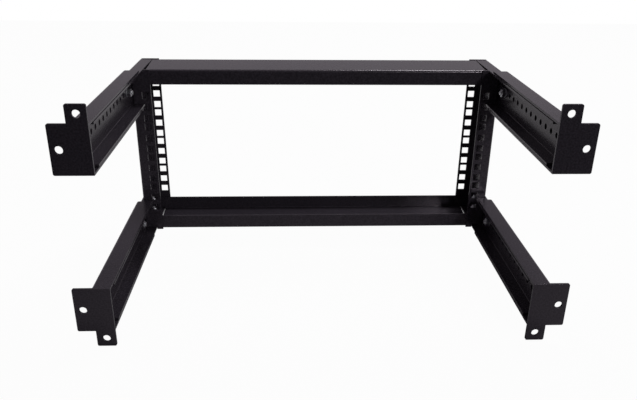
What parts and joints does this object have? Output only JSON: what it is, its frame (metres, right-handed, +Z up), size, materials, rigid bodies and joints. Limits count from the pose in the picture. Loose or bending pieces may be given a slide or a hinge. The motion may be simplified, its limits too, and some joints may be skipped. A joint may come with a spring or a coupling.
{
  "type": "wall mount open frame rack",
  "caption": "open steel frame that holds rack equipment off a wall, with square-holed rails joined by channel bars and carried by depth-setting arms with wall ears",
  "frame": {"origin": "middle of the rectangle of the four ear holes, on the wall plane", "axes": "+Z up, +Y into the wall, +X to the right as seen from the front of the rack"},
  "size_m": [0.552, 0.328, 0.2816],
  "materials": {
    "powder_coat": "fine textured black powder coat",
    "zinc_plate": "bright zinc plating"
  },
  "bodies": {
    "root": {"rail_left": "powder_coat", "rail_right": "powder_coat", "top_bar": "powder_coat", "bottom_bar": "powder_coat", "front_arm_top_left": "powder_coat", "wall_arm_top_left": "powder_coat", "front_arm_top_right": "powder_coat", "wall_arm_top_right": "powder_coat", "corner_bolts_top": "zinc_plate", "corner_nuts_top": "zinc_plate", "corner_washers_top": "zinc_plate", "clamp_bolts_top": "zinc_plate", "clamp_nuts_top": "zinc_plate", "clamp_washers_top": "zinc_plate", "front_arm_bottom_left": "powder_coat", "wall_arm_bottom_left": "powder_coat", "front_arm_bottom_right": "powder_coat", "wall_arm_bottom_right": "powder_coat", "corner_bolts_bottom": "zinc_plate", "corner_nuts_bottom": "zinc_plate", "corner_washers_bottom": "zinc_plate", "clamp_bolts_bottom": "zinc_plate", "clamp_nuts_bottom": "zinc_plate", "clamp_washers_bottom": "zinc_plate"}
  },
  "joints": []
}
